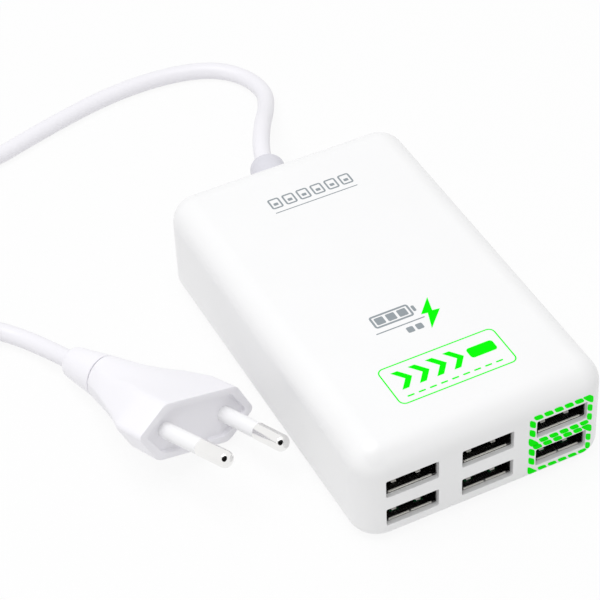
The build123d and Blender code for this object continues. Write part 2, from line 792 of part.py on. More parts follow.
def make_plug_body():
    shoulder = plug_section(plug_shoulder_depth, plug_width - 0.6, plug_height - 0.2, plug_flat_width, 1.6)
    sections = [
        plug_section(0, plug_width, plug_height, plug_flat_width, plug_corner_radius),
        shoulder,
    ]
    front = loft(sections)
    waist_flat = plug_waist_width / 2
    collar_flat = plug_collar_diameter / 2
    back = loft([
        shoulder,
        plug_section(plug_waist_depth, plug_waist_width, plug_waist_height, waist_flat, 2.6),
        plug_section(plug_body_depth, plug_collar_diameter, plug_collar_diameter - 0.4, collar_flat, 2.6),
    ])
    collar = plug_collar_diameter / 2
    end = plug_neck_end_diameter / 2
    groove = plug_groove_width
    neck_start = plug_neck_diameter / 2
    waist = neck_start - plug_groove_depth
    rear = -plug_body_depth - plug_neck_length
    outline = Polyline(
        (0, 1 - plug_body_depth), (collar, 1 - plug_body_depth), (collar, -plug_body_depth),
        (waist, -plug_body_depth), (waist, -plug_body_depth - groove),
        (neck_start, -plug_body_depth - groove), (end, rear), (0, rear), close=True,
    )
    neck = revolve(Plane.XZ * make_face(outline), Axis.Z)
    neck = fillet(neck.edges().group_by(Axis.Z)[0], plug_neck_end_radius)
    body = front + back + neck
    rim = 2 * plug_recess_rim
    recess = plug_section(0, plug_width - 1.4 * rim, plug_height - rim, plug_flat_width - 0.3 * rim, 0.8)
    body -= extrude(recess, -plug_recess_depth)
    for side in (-1, 1):
        line = pin_line(side)
        hole = line.offset(-pin_root - pin_fit) * Circle(pin_core_diameter / 2 + pin_fit)
        body -= extrude(hole, pin_root + 1)
        seat = line.offset(-plug_recess_depth - 2 - pin_fit) * Circle(sleeve_diameter / 2 + pin_fit)
        body -= extrude(seat, plug_recess_depth + 3)
    return body


def cord_routes():
    """The lead's points: from the boot to the coil, and from the coil to the plug's neck."""
    exit_point, exit_heading = relief_end()
    first = exit_point + exit_heading * 6.1
    in_heading = coil_heading(coil_in_angle)
    before_coil = coil_in_end - in_heading * 9.0
    to_coil = [
        exit_point,
        first,
        (9.0, 79.6, 11.9),
        (12.9, 86.6, 8.2),
        (16.9, 94.0, 5.0),
        (20.4, 101.9, 2.8),
        (19.9, 110.0, lay_z),
        (15.5, 117.0, lay_z),
        (8.3, 121.1, lay_z),
        (-3.5, 123.1, lay_z),
        (-18.5, 122.1, lay_z),
        (-37.5, 117.2, lay_z),
        (-56.5, 111.0, lay_z),
        before_coil,
        coil_in_end,
    ]
    plane = plug_plane()
    rear = plane.from_local_coords(Vector(0, 0, -plug_body_depth - plug_neck_length))
    before_plug = rear - plane.z_dir * 9.5
    after_coil = coil_out_end + coil_heading(coil_out_angle) * 8.0
    to_plug = [
        coil_out_end,
        after_coil,
        (-79.0, 50.8, 4.6),
        (-73.0, 46.4, 2.8),
        before_plug,
        rear,
    ]
    return {
        "cord_from_charger": [Vector(p) for p in to_coil],
        "cord_to_plug": [Vector(p) for p in to_plug],
    }


def bend_radii(points):
    """The largest arc that each corner's two runs leave room for."""
    radii = []
    for before, corner, after in zip(points, points[1:], points[2:]):
        run_in, run_out = corner - before, after - corner
        half_turn = radians(run_in.get_angle(run_out)) / 2
        radii.append(0.45 * min(run_in.length, run_out.length) / tan(half_turn))
    return radii


def make_cord(name, points):
    radii = bend_radii(points)
    path = FilletPolyline(*points, radius=radii)
    tube = sweep(Plane(path @ 0, z_dir=path % 0) * Circle(cord_radius), path)
    expected = pi * cord_radius**2 * path.length
    print(f"{name}: {path.length:.1f} mm long, volume {tube.volume / expected:.4f} of section times length")
    print(f"{name}: bend radii", [round(r, 1) for r in radii])
    return tube


def build():
    nodes["housing"] = make_housing()
    nodes["base_cover"] = make_base_cover()
    nodes["cover_screws"] = make_screws()
    for name, place in foot_places().items():
        nodes[name] = make_foot(place)
    for name, column in port_columns.items():
        x = column * column_pitch
        contacts = make_usb_contacts(x)
        nodes[f"usb_shell_{name}"] = make_usb_shell(x)
        nodes[f"usb_insulator_{name}"] = make_usb_insulator(x, contacts)
        nodes[f"usb_contacts_{name}"] = Compound(children=contacts)
    nodes["main_board"] = make_main_board()
    nodes["insulation_sheet"] = make_insulation_sheet()
    nodes["fuse"] = make_fuse()
    nodes["x_capacitor"] = make_x_capacitor()
    nodes["mains_choke_core"], nodes["mains_choke_winding"] = make_mains_choke()
    nodes["bridge_rectifier"] = make_chip(bridge_size, on_board(bridge_share))
    nodes["bulk_capacitor"] = make_bulk_capacitor()
    nodes["switching_transistor"] = make_power_device(primary_sink_place)
    nodes["primary_heat_sink"] = make_heat_sink(primary_sink_place)
    core, bobbin, winding = make_transformer()
    nodes["transformer_core"] = core
    nodes["transformer_bobbin"] = bobbin
    nodes["transformer_winding"] = winding
    nodes["y_capacitor"] = make_y_capacitor()
    nodes["optocoupler"] = make_chip(optocoupler_size, on_board(optocoupler_share))
    nodes["controller_chip"] = make_chip(controller_size, on_board(controller_share))
    nodes["output_rectifier"] = make_power_device(secondary_sink_place)
    nodes["secondary_heat_sink"] = make_heat_sink(secondary_sink_place)
    for name, share in output_capacitor_shares.items():
        nodes[f"output_capacitor_{name}"] = make_output_capacitor(on_board(share))
    nodes["output_choke"] = make_output_choke()
    nodes["port_control_chip"] = make_chip(port_chip_size, on_board(port_chip_share))
    nodes["strain_relief"] = make_strain_relief()
    nodes["live_wire"] = make_core_wire(-1)
    nodes["neutral_wire"] = make_core_wire(1)
    for name, points in cord_routes().items():
        nodes[name] = make_cord(name, points)
    nodes["cord_coil"] = make_coil()
    nodes["coil_tie"] = make_coil_tie()
    plane = plug_plane()
    nodes["plug_body"] = plane * make_plug_body()
    for name, side in (("left", -1), ("right", 1)):
        nodes[f"plug_pin_{name}"] = plane * make_plug_pin(side)
        nodes[f"pin_sleeve_{name}"] = plane * make_pin_sleeve(side)


build()
os.makedirs("parts", exist_ok=True)
for name, shape in nodes.items():
    export_step(shape, f"parts/{name}.step")
print(len(nodes), "nodes written")
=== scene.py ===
# %% [markdown]
# # A desktop charger with six sockets, its mains lead and its plug
# The engineering model comes in as a fixed frame, and this lesson dresses it.
# Everything is in metres in the frame's own axes: +Z is up, the sockets face -Y
# and the lead leaves the back wall towards +Y.

# %% The frame
import json
from math import cos, pi, radians, sin

import bmesh
import bpy
from mathutils import Matrix, Vector

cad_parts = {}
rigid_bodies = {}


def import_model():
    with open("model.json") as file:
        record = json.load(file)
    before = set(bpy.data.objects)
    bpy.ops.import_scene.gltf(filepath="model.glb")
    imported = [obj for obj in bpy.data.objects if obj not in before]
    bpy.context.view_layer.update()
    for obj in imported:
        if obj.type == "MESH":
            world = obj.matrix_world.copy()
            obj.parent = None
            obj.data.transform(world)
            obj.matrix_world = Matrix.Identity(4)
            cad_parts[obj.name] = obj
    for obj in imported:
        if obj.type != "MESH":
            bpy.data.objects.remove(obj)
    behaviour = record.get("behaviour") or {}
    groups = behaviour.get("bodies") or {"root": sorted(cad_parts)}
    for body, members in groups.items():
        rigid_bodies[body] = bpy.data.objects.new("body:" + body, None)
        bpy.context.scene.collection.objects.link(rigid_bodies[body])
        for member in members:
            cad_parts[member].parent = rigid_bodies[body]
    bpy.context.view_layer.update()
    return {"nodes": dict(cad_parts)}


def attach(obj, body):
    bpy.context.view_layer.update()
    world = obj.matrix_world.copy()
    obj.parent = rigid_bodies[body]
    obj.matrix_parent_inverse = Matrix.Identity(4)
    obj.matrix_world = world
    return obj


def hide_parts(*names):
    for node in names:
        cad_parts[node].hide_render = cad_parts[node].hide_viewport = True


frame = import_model()
bpy.ops.object.select_all(action="DESELECT")
mm = 0.001
print("frame:", len(frame["nodes"]), "nodes")

# %% [markdown]
# ## Camera
# A product picture of this kind is taken with a long lens from well above the table.
# The camera could be aimed with a constraint, but its place and turn are known numbers
# here, so its matrix is written out from three angles and a place.

# %% Camera
azimuth, elevation, roll = radians(-24.8346), radians(42.5161), radians(-2.8022)
back = Vector((sin(azimuth) * cos(elevation), -cos(azimuth) * cos(elevation), sin(elevation)))
level = (-back).cross(Vector((0, 0, 1))).normalized()
upright = level.cross(-back)
right = cos(roll) * level + sin(roll) * upright
above = cos(roll) * upright - sin(roll) * level
bpy.ops.object.camera_add()
camera = bpy.context.object
camera.name = "camera"
sensor_width, focal_in_pixels, picture_width = 36, 2340.551, 600
camera.data.sensor_width = sensor_width
camera.data.lens = sensor_width * focal_in_pixels / picture_width
aim = Matrix((right, above, back)).transposed().to_4x4()
aim.translation = (-0.182255, -0.351531, 0.382986)
camera.matrix_world = aim
bpy.context.scene.camera = camera
print("camera:", round(camera.data.lens, 1), "mm lens")

# %% [markdown]
# ## Mains lead
# The lead is a round two-core cable with a soft white jacket, about a metre and a half
# long. It drops from the back of the charger, lies on the table, is wound up beside the
# picture and comes back to the plug. A hand-modelled tube would kink, so the lead is one
# NURBS curve with a round bevel: the curve runs smoothly past its control points.

# %% Route of the lead
lead_radius = 2.2 * mm
to_coil = [
    (1.706, 62.941, 13.6), (3.388, 68.804, 13.6), (9.0, 79.6, 11.9), (12.9, 86.6, 8.2),
    (16.9, 94.0, 5.0), (20.4, 101.9, 2.8), (19.9, 110.0, 2.25), (15.5, 117.0, 2.25),
    (8.3, 121.1, 2.25), (-3.5, 123.1, 2.25), (-18.5, 122.1, 2.25), (-37.5, 117.2, 2.25),
    (-56.5, 111.0, 2.25), (-68.667, 112.673, 3.25), (-77.226, 115.454, 3.25),
]
to_plug = [
    (-93.808, 53.569, 7.15), (-85.983, 51.906, 7.15), (-79.0, 50.8, 4.6),
    (-73.0, 46.4, 2.8), (-68.662, 38.106, 3.780), (-65.284, 29.352, 5.266),
]
print("route:", len(to_coil), "points to the coil and", len(to_plug), "to the plug")

# %% Turns of the coil
coil_middle = (-106.0, 90.0)
outer_turn, inner_turn = 33.1, 14.6
first_angle, total_turns, points_per_turn = 72.0, 8.517, 16
lower_row, upper_row = 3.1, 7.3
steps = round(total_turns * points_per_turn)
bulge = 1 / cos(pi / points_per_turn)
coil = []
for step in range(steps + 1):
    share = step / steps
    inward = abs(2 * share - 1)
    radius = (inner_turn + (outer_turn - inner_turn) * inward) * bulge
    rise = min(max((share - 0.5) * total_turns / 0.35 + 0.5, 0), 1)
    angle = radians(first_angle + 360 * total_turns * share)
    height = lower_row + (upper_row - lower_row) * rise
    coil.append((coil_middle[0] + radius * cos(angle),
                 coil_middle[1] + radius * sin(angle), height))
print("coil:", len(coil), "points in", total_turns, "turns")

# %% Lead as a curve
lead_points = to_coil + coil + to_plug
curve = bpy.data.curves.new("mains_lead", "CURVE")
curve.dimensions = "3D"
spline = curve.splines.new("NURBS")
spline.points.add(len(lead_points) - 1)
for spot, (x, y, z) in zip(spline.points, lead_points):
    spot.co = (x * mm, y * mm, z * mm, 1)
    spot.radius = lead_radius
spline.order_u = 3
spline.use_endpoint_u = True
curve.resolution_u = 5
curve.bevel_depth = 1.0
curve.bevel_resolution = 7
curve.use_fill_caps = True
lead = bpy.data.objects.new("mains_lead", curve)
bpy.context.scene.collection.objects.link(lead)
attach(lead, "root")
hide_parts("cord_from_charger", "cord_coil", "cord_to_plug")
print("lead:", round(spline.calc_length() * 1000), "mm of spline")

# %% [markdown]
# ## Tools for finishes
# A finish is a material whose colour, gloss and tiny relief change over the surface.
# Node trees can be drawn by hand, but sums of many nodes read better as Python: a
# `Signal` wraps a socket so that `1 - mask` or `a * b` adds the Math nodes by itself.

# %% Signals and finishes
class Signal:
    """A node's output that Python's operators can work on."""

    def __init__(self, finish, socket):
        self.finish, self.socket = finish, socket

    def maths(self, operation, first, second):
        return self.finish.node("ShaderNodeMath", {"operation": operation}, {0: first, 1: second})

    def __add__(self, other):
        return self.maths("ADD", self, other)

    def __sub__(self, other):
        return self.maths("SUBTRACT", self, other)

    def __rsub__(self, other):
        return self.maths("SUBTRACT", other, self)

    def __mul__(self, other):
        return self.maths("MULTIPLY", self, other)

    def __gt__(self, other):
        return self.maths("GREATER_THAN", self, other)

    def __lt__(self, other):
        return self.maths("LESS_THAN", self, other)

    __radd__, __rmul__ = __add__, __mul__


class Finish:
    """A material with one Principled shader, and the means to add nodes to it."""

    def __init__(self, name, fixed):
        self.material = bpy.data.materials.new(name)
        self.material.use_nodes = True
        self.tree = self.material.node_tree
        self.shader = self.tree.nodes["Principled BSDF"]
        self.set(fixed)

    def feed(self, socket, value):
        if isinstance(value, Signal):
            self.tree.links.new(value.socket, socket)
        else:
            socket.default_value = value

    def set(self, values):
        for name, value in values.items():
            self.feed(self.shader.inputs[name], value)

    def node(self, kind, settings, sockets, output=0):
        made = self.tree.nodes.new(kind)
        for name, value in settings.items():
            setattr(made, name, value)
        for name, value in sockets.items():
            self.feed(made.inputs[name], value)
        return Signal(self, made.outputs[output])

    def place(self, scale=(1, 1, 1)):
        """The piece's own coordinates, stretched along its axes."""
        spot = self.node("ShaderNodeTexCoord", {}, {}, "Object")
        return self.node("ShaderNodeMapping", {"vector_type": "TEXTURE"},
                         {"Vector": spot, "Scale": scale})

    def axis(self, letter):
        return self.node("ShaderNodeSeparateXYZ", {}, {"Vector": self.place()}, letter)

    def noise(self, size, detail, scale=(1, 1, 1)):
        """Soft blotches about as large as size, from 0 to 1."""
        return self.node("ShaderNodeTexNoise", {},
                         {"Vector": self.place(scale), "Scale": 1 / size, "Detail": detail})

    def mix(self, share, first, second):
        return self.node("ShaderNodeMix", {"data_type": "RGBA"}, {0: share, 6: first, 7: second}, 2)

    def relief(self, height, depth):
        self.set({"Normal": self.node("ShaderNodeBump", {}, {
            "Strength": 1.0, "Distance": depth, "Height": height})})


def shade(colour, factor):
    """A colour made lighter or darker, with its alpha."""
    return tuple(min(part * factor, 1.0) for part in colour[:3]) + (1.0,)


print("finish tools ready")

# %% [markdown]
# ## Moulded plastics and rubber
# Injection-moulded plastic is never one flat colour: the flow leaves faint clouds in the
# tone, and the tool's surface leaves a fine texture that breaks up the gloss. One function
# makes them all, and the numbers say how white, how glossy and how coarse.

# %% Plastics
finishes = {}


def moulding(slot, colour, gloss, grain, depth, clouds=0.03, extra=None):
    """Moulded plastic: faint clouds in the colour, fine texture in gloss and relief."""
    finish = Finish(slot, {"IOR": 1.5, **(extra or {})})
    cloud = finish.noise(14 * mm, 3)
    fine = finish.noise(grain, 3)
    finish.set({
        "Base Color": finish.mix(cloud, shade(colour, 1 - clouds), shade(colour, 1 + clouds)),
        "Roughness": gloss + (fine - 0.5) * 0.12 + (cloud - 0.5) * 0.06,
    })
    finish.relief(fine, depth)
    finishes[slot] = finish


moulding("housing_white", (0.90, 0.90, 0.905), 0.36, 0.5 * mm, 0.001 * mm, 0.012,
         {"Coat Weight": 0.25, "Coat Roughness": 0.1})
moulding("cover_white", (0.80, 0.80, 0.81), 0.5, 0.35 * mm, 0.012 * mm)
moulding("foot_rubber", (0.045, 0.045, 0.05), 0.75, 0.25 * mm, 0.03 * mm, 0.15)
moulding("socket_black", (0.012, 0.012, 0.013), 0.5, 0.2 * mm, 0.006 * mm, 0.2)
moulding("relief_grey", (0.70, 0.695, 0.75), 0.5, 0.3 * mm, 0.006 * mm, 0.02)
moulding("cord_white", (0.88, 0.87, 0.91), 0.42, 0.4 * mm, 0.005 * mm, 0.02)
moulding("plug_white", (0.91, 0.90, 0.94), 0.36, 0.35 * mm, 0.003 * mm, 0.015)
moulding("sleeve_white", (0.92, 0.92, 0.93), 0.4, 0.3 * mm, 0.003 * mm, 0.015)
moulding("box_yellow", (0.78, 0.55, 0.08), 0.35, 0.4 * mm, 0.01 * mm)
moulding("package_black", (0.018, 0.018, 0.02), 0.6, 0.15 * mm, 0.012 * mm, 0.2)
moulding("bobbin_black", (0.022, 0.02, 0.018), 0.45, 0.3 * mm, 0.01 * mm, 0.2)
moulding("disc_blue", (0.05, 0.16, 0.48), 0.3, 0.8 * mm, 0.04 * mm, 0.08)
moulding("wire_brown", (0.20, 0.085, 0.035), 0.4, 0.3 * mm, 0.005 * mm)
moulding("wire_blue", (0.03, 0.12, 0.42), 0.4, 0.3 * mm, 0.005 * mm)
moulding("sheet_film", (0.72, 0.70, 0.62), 0.25, 1.5 * mm, 0.01 * mm)
moulding("fuse_ceramic", (0.80, 0.77, 0.70), 0.3, 0.3 * mm, 0.008 * mm)
moulding("ferrite", (0.055, 0.053, 0.055), 0.62, 0.12 * mm, 0.03 * mm, 0.25)
print("plastics:", len(finishes))

# %% [markdown]
# ## Metals
# Plated and rolled metal shows its making: fine parallel lines from rolling or turning.
# Stretching the noise along one axis draws those lines, and they change both the gloss and
# the relief a little.

# %% Metals
def metal(slot, colour, gloss, lines, depth, stretch):
    """Bright metal with lines drawn along the axis that is stretched most."""
    finish = Finish(slot, {"Metallic": 1.0})
    drawn = finish.noise(lines, 3, scale=stretch)
    cloud = finish.noise(6 * mm, 2)
    finish.set({
        "Base Color": finish.mix(cloud, shade(colour, 0.92), shade(colour, 1.05)),
        "Roughness": gloss + (drawn - 0.5) * 0.2 + (cloud - 0.5) * 0.08,
    })
    finish.relief(drawn, depth)
    finishes[slot] = finish


metal("pin_nickel", (0.90, 0.895, 0.885), 0.11, 0.3 * mm, 0.001 * mm, (6, 1, 6))
metal("contact_gold", (0.83, 0.60, 0.22), 0.22, 0.15 * mm, 0.003 * mm, (1, 30, 1))
metal("screw_steel", (0.52, 0.52, 0.53), 0.32, 0.25 * mm, 0.006 * mm, (1, 1, 1))
metal("sink_aluminium", (0.74, 0.75, 0.76), 0.34, 0.25 * mm, 0.008 * mm, (30, 1, 1))
print("finishes so far:", len(finishes))

# %% [markdown]
# ## Steel of the sockets
# The sockets are folded from tinned sheet. The cut edge at the mouth and the tongues
# of the springs are painted near white and matt: a painted highlight where the bright metal
# would catch the light. The rest is painted dark grey, darker than bare tin, as painted shade
# for the deep socket, and stays bright like a mirror. One finish does both: a mask on the
# piece's own coordinates says where the painted highlight goes. All six sockets share it,
# because Wrap folds their columns and rows onto one another.

# %% Socket steel
steel = Finish("socket_steel", {})
column_pitch, row_pitch = 18.6 * mm, 8.72 * mm


def fold(letter, start, pitch):
    """The distance past the last of the lines that lie a pitch apart."""
    return steel.node("ShaderNodeMath", {"operation": "WRAP"},
                      {0: steel.axis(letter) - start, 1: pitch, 2: 0.0})


beside = fold("X", -column_pitch / 2, column_pitch) - column_pitch / 2
off_middle = steel.node("ShaderNodeMath", {"operation": "ABSOLUTE"}, {0: beside})
over_floor = fold("Z", 5.2 * mm, row_pitch)
# Painted highlight on the spring tongues, where light would glint on the bright metal.
springs = (off_middle < 4.2 * mm) * (over_floor > 0.02 * mm) * (over_floor < 0.8 * mm)
springs = springs * (steel.axis("Y") < -42.0 * mm)
# Painted highlight along the cut edge at the mouth, left off at the seam.
mouth = (steel.axis("Y") < -49.2 * mm) * (fold("Z", 4.85 * mm, row_pitch) < 0.4 * mm)
seam = (off_middle < 0.25 * mm) * (steel.axis("Z") < 9.0 * mm)
mouth = mouth * (off_middle < 5.3 * mm) * (1 - seam)
# Both painted highlights together: where this mask is set, the steel is near white, matt and barely
# metallic.
painted_highlight = steel.node("ShaderNodeMath", {"operation": "MAXIMUM"}, {0: springs, 1: mouth})
rolled = steel.noise(0.2 * mm, 3, scale=(1, 30, 1))
steel.set({
    # Dark grey base, darker than bare tin: painted shade for the inside of the socket; near white
    # where the highlight is painted.
    "Base Color": steel.mix(painted_highlight, (0.24, 0.235, 0.23, 1), (0.96, 0.94, 0.88, 1)),
    "Metallic": 1.0 - painted_highlight * 0.9,
    "Roughness": 0.26 + (rolled - 0.5) * 0.2 + painted_highlight * 0.2,
})
steel.relief(rolled, 0.001 * mm)
finishes["socket_steel"] = steel
print("socket steel: pale edges and springs")

# %% [markdown]
# ## Finishes with a pattern
# The circuit board, the windings, the printed sleeves of the capacitors and the woven band
# each have a pattern of their own. Bands come from a wave along one axis, and the board's
# tracks from a brick pattern that is shifted and stretched.

# %% Patterned finishes
def banded(slot, colour, gap, gloss, pitch, letter, depth, metallic=0.0):
    """Close bands along one axis: wire turns, tape edges or threads."""
    finish = Finish(slot, {"Metallic": metallic})
    across = finish.axis(letter) * (2 * pi / pitch)
    band = finish.node("ShaderNodeMath", {"operation": "SINE"}, {0: across}) * 0.5 + 0.5
    fine = finish.noise(0.4 * mm, 3)
    finish.set({
        "Base Color": finish.mix(band * 0.8 + fine * 0.2, gap + (1,), colour + (1,)),
        "Roughness": gloss + (fine - 0.5) * 0.15,
    })
    finish.relief(band + fine * 0.2, depth)
    finishes[slot] = finish


banded("copper_wire", (0.72, 0.30, 0.12), (0.20, 0.06, 0.02), 0.3, 0.7 * mm, "Z", 0.12 * mm, 0.9)
banded("winding_tape", (0.72, 0.52, 0.10), (0.60, 0.40, 0.06), 0.3, 3.0 * mm, "Z", 0.02 * mm)
banded("can_sleeve", (0.035, 0.045, 0.075), (0.028, 0.035, 0.06), 0.28, 2.0 * mm, "Y", 0.006 * mm)
banded("tie_band", (0.74, 0.74, 0.77), (0.42, 0.42, 0.46), 0.8, 0.7 * mm, "Z", 0.12 * mm)

board = Finish("board_green", {"IOR": 1.5})
tracks = board.node("ShaderNodeTexBrick", {"offset": 0.37, "squash": 0.6, "squash_frequency": 3}, {
    "Vector": board.place(), "Scale": 90.0, "Mortar Size": 0.035, "Brick Width": 0.9,
    "Row Height": 0.32, "Mortar Smooth": 0.3}, "Fac")
weave = board.noise(0.5 * mm, 2)
board.set({
    "Base Color": board.mix(tracks, (0.012, 0.12, 0.045, 1), (0.03, 0.24, 0.09, 1)),
    "Roughness": 0.34 + (weave - 0.5) * 0.16,
})
board.relief(tracks + weave * 0.3, 0.03 * mm)
finishes["board_green"] = board
print("finishes:", sorted(finishes))

# %% [markdown]
# ## Modelling tools
# Every piece starts as a primitive at its size and place and is shaped in edit mode.
# Operators act on whatever is selected, so two helpers do the selecting: one takes a single
# object, the other the faces, edges or points that pass a test on their place and direction.

# %% Helpers for modelling
def only(piece):
    bpy.ops.object.select_all(action="DESELECT")
    piece.select_set(True)
    bpy.context.view_layer.objects.active = piece


def begin(name):
    """Gives the new primitive its name, puts its place in the mesh and opens it."""
    piece = bpy.context.object
    piece.name = piece.data.name = name
    bpy.ops.object.transform_apply(location=True, rotation=True, scale=True)
    bpy.ops.object.mode_set(mode="EDIT")
    return piece


def pick(kind, wanted):
    """Selects the parts whose middle and direction pass the test."""
    bpy.ops.mesh.select_mode(type=kind)
    bpy.ops.mesh.select_all(action="DESELECT")
    data = bpy.context.edit_object.data
    mesh = bmesh.from_edit_mesh(data)
    found = 0
    for part in {"FACE": mesh.faces, "EDGE": mesh.edges, "VERT": mesh.verts}[kind]:
        if kind == "FACE":
            middle, way = part.calc_center_median(), part.normal
        elif kind == "EDGE":
            middle = (part.verts[0].co + part.verts[1].co) / 2
            way = (part.verts[1].co - part.verts[0].co).normalized()
        else:
            middle, way = part.co, part.normal
        if wanted(middle, way):
            part.select_set(True)
            found += 1
    mesh.select_flush_mode()
    bmesh.update_edit_mesh(data)
    return found


def close(piece, angle=35):
    """Leaves edit mode with clean outward faces and smooth shading up to an angle."""
    bpy.ops.mesh.select_all(action="SELECT")
    bpy.ops.mesh.remove_doubles(threshold=0.001 * mm)
    bpy.ops.mesh.normals_make_consistent(inside=False)
    bpy.ops.object.mode_set(mode="OBJECT")
    only(piece)
    bpy.ops.object.shade_smooth_by_angle(angle=radians(angle))
    return piece


def apply(piece, kind, **settings):
    only(piece)
    change = piece.modifiers.new(kind.lower(), kind)
    for name, value in settings.items():
        setattr(change, name, value)
    bpy.ops.object.modifier_apply(modifier=change.name)


def carve(piece, tool, operation="DIFFERENCE"):
    apply(piece, "BOOLEAN", object=tool, operation=operation, solver="EXACT")
    bpy.data.objects.remove(tool)


def dress(piece, slot, *nodes):
    """Gives a finished piece its finish, its body and the nodes that it stands for."""
    piece.data.materials.clear()
    piece.data.materials.append(finishes[slot].material)
    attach(piece, "root")
    if nodes:
        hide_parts(*nodes)
    print(piece.name, "made,", len(getattr(piece.data, "polygons", [])), "faces")


def extrude(step, scale=None, centre=None):
    """Grows the selected face along a step, then sizes its new ring about a centre."""
    bpy.ops.mesh.extrude_region_move(TRANSFORM_OT_translate={"value": step})
    if scale:
        bpy.ops.transform.resize(value=scale, center_override=centre)


print("modelling tools ready")

# %% [markdown]
# ## Housing
# The housing is one deep glossy moulding, open underneath, with generous radii and six
# windows in its front wall. Subdivision would soften the flats, so it is a box whose edges
# are bevelled in three passes, cut off flat below, hollowed and pierced with booleans.

# %% Outer form of the housing
housing_size = (61.6 * mm, 101.6 * mm, 25.6 * mm)
housing_low, housing_top = 0.8 * mm, 26.4 * mm
front_y, back_y, wall = -50.8 * mm, 50.8 * mm, 2.0 * mm
tiny = 0.01 * mm


def rounded_block(name, size, middle, corner, top, bottom, smooth):
    bpy.ops.mesh.primitive_cube_add(size=1, location=middle, scale=size)
    piece = begin(name)
    low, high = middle[2] - size[2] / 2, middle[2] + size[2] / 2
    pick("EDGE", lambda spot, way: abs(way.z) > 0.9)
    bpy.ops.mesh.bevel(offset=corner, segments=smooth, affect="EDGES")
    for height, radius in ((high, top), (low, bottom)):
        if radius:
            pick("EDGE", lambda spot, way: abs(spot.z - height) < tiny and abs(way.z) < 0.1)
            bpy.ops.mesh.bevel(offset=radius, segments=smooth, affect="EDGES")
    bpy.ops.object.mode_set(mode="OBJECT")
    return piece


housing = rounded_block("housing_shell", housing_size, (0, 0, (housing_low + housing_top) / 2),
                        6.7 * mm, 6.5 * mm, 3.0 * mm, 14)
only(housing)
bpy.ops.object.mode_set(mode="EDIT")
bpy.ops.mesh.select_all(action="SELECT")
bpy.ops.mesh.bisect(plane_co=(0, 0, 1.7 * mm), plane_no=(0, 0, 1), use_fill=True, clear_inner=True)
bpy.ops.object.mode_set(mode="OBJECT")
print("housing block:", len(housing.data.polygons), "faces")

# %% Hollow, thin wall at the sockets, bosses, windows and the lead's hole
cavity = rounded_block("cavity", (57.6 * mm, 97.6 * mm, 25.4 * mm), (0, 0, 11.7 * mm),
                       3.0 * mm, 2.6 * mm, 0, 6)
carve(housing, cavity)
bpy.ops.mesh.primitive_cube_add(size=1, location=(0, -48.6 * mm, 12.12 * mm),
                                scale=(51.1 * mm, 2.0 * mm, 15.24 * mm))
pocket = begin("pocket")
close(pocket)
carve(housing, pocket)

boss_places = [(x * mm, y * mm) for x in (-25.3, 25.3) for y in (-25.1, 30.988)]
for x, y in boss_places:
    bpy.ops.mesh.primitive_cylinder_add(vertices=32, radius=2.9 * mm, depth=22.4 * mm,
                                        location=(x, y, 13.5 * mm))
    boss = begin("boss")
    pick("FACE", lambda spot, way: way.z < -0.9)
    bpy.ops.mesh.inset(thickness=1.65 * mm)
    extrude((0, 0, 8.2 * mm))
    close(boss)
    carve(housing, boss, "UNION")

columns, rows = (-column_pitch, 0.0, column_pitch), (7.3 * mm, 7.3 * mm + row_pitch)
window_size = (12.8 * mm, 5.0 * mm)
for x in columns:
    for z in rows:
        bpy.ops.mesh.primitive_cube_add(size=1, location=(x, front_y + 0.5 * wall, z),
                                        scale=(window_size[0], 3 * wall, window_size[1]))
        window = begin("window")
        pick("EDGE", lambda spot, way: abs(way.y) > 0.9)
        bpy.ops.mesh.bevel(offset=0.35 * mm, segments=3, affect="EDGES")
        close(window)
        carve(housing, window)

bpy.ops.mesh.primitive_cylinder_add(vertices=48, radius=3.6 * mm, depth=3 * wall,
                                    location=(0, back_y - wall, 13.6 * mm), rotation=(pi / 2, 0, 0))
hole = begin("hole")
close(hole)
carve(housing, hole)
print("housing pierced:", len(housing.data.polygons), "faces")

# %% Soft edges of the windows
only(housing)
bpy.ops.object.mode_set(mode="EDIT")


def on_window_rim(spot, way):
    beside_x = any(abs(spot.x - x) < window_size[0] / 2 + tiny for x in columns)
    beside_z = any(abs(spot.z - z) < window_size[1] / 2 + tiny for z in rows)
    return beside_x and beside_z and spot.y < front_y + 0.2 * mm and abs(way.y) < 0.5


rim_edges = pick("EDGE", on_window_rim)
bpy.ops.mesh.bevel(offset=0.14 * mm, segments=2, affect="EDGES")
close(housing, 30)
apply(housing, "WEIGHTED_NORMAL", keep_sharp=True)
dress(housing, "housing_white", "housing")
print("window rims:", rim_edges, "edges softened")

# %% [markdown]
# ## Strain relief
# A soft boot keeps the lead from kinking at the back wall. It has a flange inside, a neck
# in the hole and a short bent cone outside with a domed end. The bend rules out a simple
# spin, so a disc is extruded ring by ring, turned a little and sized at each step.

# %% Boot at the back wall
boot_height = 13.6 * mm
ring_y = back_y - wall - 2.0 * mm
bpy.ops.mesh.primitive_circle_add(vertices=48, radius=5.5 * mm, fill_type="NGON",
                                  location=(0, ring_y, boot_height), rotation=(-pi / 2, 0, 0))
boot = begin("strain_relief_boot")
bpy.ops.mesh.select_all(action="SELECT")
centre = Vector((0, ring_y, boot_height))
ring_radius = 5.5 * mm
heading = Vector((0, 1, 0))


def boot_ring(step, radius, turn=0.0):
    """The next ring of the boot: forward, round a little, and to its radius."""
    global centre, heading, ring_radius
    heading = Matrix.Rotation(-turn, 3, "Z") @ heading
    centre = centre + heading * step
    extrude(heading * step)
    if turn:
        bpy.ops.transform.rotate(value=turn, orient_axis="Z", center_override=centre)
    factor = radius / ring_radius
    bpy.ops.transform.resize(value=(factor, factor, factor), center_override=centre)
    ring_radius = radius


